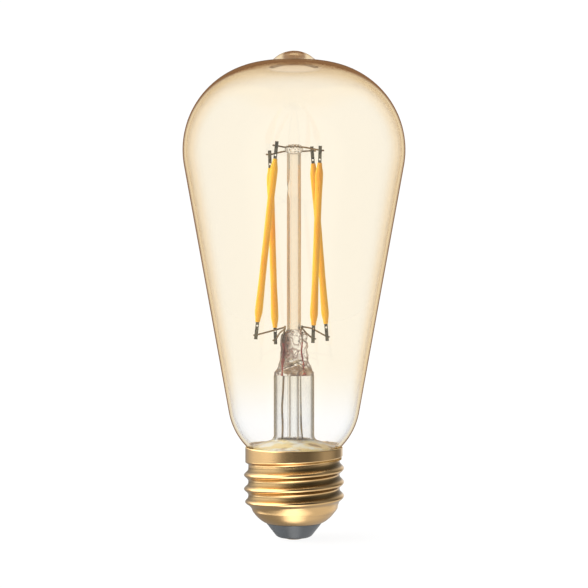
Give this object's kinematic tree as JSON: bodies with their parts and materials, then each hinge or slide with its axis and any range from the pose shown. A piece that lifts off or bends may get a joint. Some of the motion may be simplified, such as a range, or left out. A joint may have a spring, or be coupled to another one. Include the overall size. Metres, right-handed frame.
{
  "type": "smart filament light bulb",
  "caption": "Tapered amber glass light bulb with crossed LED filaments on a glass stem and an Edison screw cap that holds a driver and radio module.",
  "frame": {"origin": "centre of the centre contact's outer face, the lowest point of the cap", "axes": "+Z along the bulb's axis from the cap to the glass tip, -Y to the front, +X to the right seen from the front"},
  "size_m": [0.0584, 0.0584, 0.128],
  "materials": {
    "envelope_glass": "clear blown glass with an amber tint that fades out above the cap",
    "stem_glass": "clear drawn tubing, pressed and flame worked",
    "shell_brass": "rolled sheet, bright with a satin lacquer",
    "contact_brass": "stamped disc, satin",
    "insulator_black": "dark grey, satin",
    "solder": "soft solder, bright and slightly uneven",
    "cement": "baked basing cement, matte",
    "phosphor": "phosphor filled silicone, satin",
    "filament_ceramic": "thin white ceramic strip",
    "light_chip": "bare blue light chips",
    "tab_metal": "dull nickel plated strip",
    "support_wire": "oxidised nickel wire",
    "seal_wire": "copper clad wire, red where the glass wets it",
    "board_green": "solder resist over glass laminate",
    "part_black": "moulded black case",
    "capacitor_sleeve": "shrunk sleeve on an aluminium can",
    "ferrite": "dark sintered core with varnished winding",
    "resistor_body": "lacquered barrel",
    "chip_ceramic": "small ceramic parts with tinned ends",
    "shield_tin": "tinned steel can, dull bright",
    "antenna_gold": "plated spring wire",
    "sleeve_paper": "translucent insulating film",
    "cable_white": "covered wire",
    "cable_red": "covered wire"
  },
  "bodies": {
    "root": {"glass_envelope": "envelope_glass", "stem_flare": "stem_glass", "stem_pinch": "stem_glass", "exhaust_tube": "stem_glass", "stem_column": "stem_glass", "column_button": "stem_glass", "outer_lead_left": "support_wire", "outer_lead_right": "support_wire", "seal_lead_left": "seal_wire", "seal_lead_right": "seal_wire", "inner_lead_left": "support_wire", "inner_lead_right": "support_wire", "upper_wire_front": "support_wire", "upper_wire_back": "support_wire", "lower_wire_1": "support_wire", "lower_wire_2": "support_wire", "lower_wire_3": "support_wire", "lower_wire_4": "support_wire", "filament_strip_1": "filament_ceramic", "filament_strip_2": "filament_ceramic", "filament_strip_3": "filament_ceramic", "filament_strip_4": "filament_ceramic", "filament_chips_1": "light_chip", "filament_chips_2": "light_chip", "filament_chips_3": "light_chip", "filament_chips_4": "light_chip", "filament_coating_1": "phosphor", "filament_coating_2": "phosphor", "filament_coating_3": "phosphor", "filament_coating_4": "phosphor", "filament_top_tab_1": "tab_metal", "filament_top_tab_2": "tab_metal", "filament_top_tab_3": "tab_metal", "filament_top_tab_4": "tab_metal", "filament_foot_tab_1": "tab_metal", "filament_foot_tab_2": "tab_metal", "filament_foot_tab_3": "tab_metal", "filament_foot_tab_4": "tab_metal", "cap_shell": "shell_brass", "cap_insulator": "insulator_black", "centre_contact": "contact_brass", "contact_solder": "solder", "basing_cement": "cement", "rim_solder": "solder", "driver_sleeve": "sleeve_paper", "driver_board": "board_green", "storage_capacitor": "capacitor_sleeve", "choke": "ferrite", "bridge_rectifier": "part_black", "driver_chip": "part_black", "fuse_resistor": "resistor_body", "small_parts": "chip_ceramic", "radio_board": "board_green", "radio_chip": "part_black", "radio_shield": "shield_tin", "antenna_wire": "antenna_gold", "shell_wire": "cable_white", "contact_wire": "cable_red"}
  },
  "joints": []
}
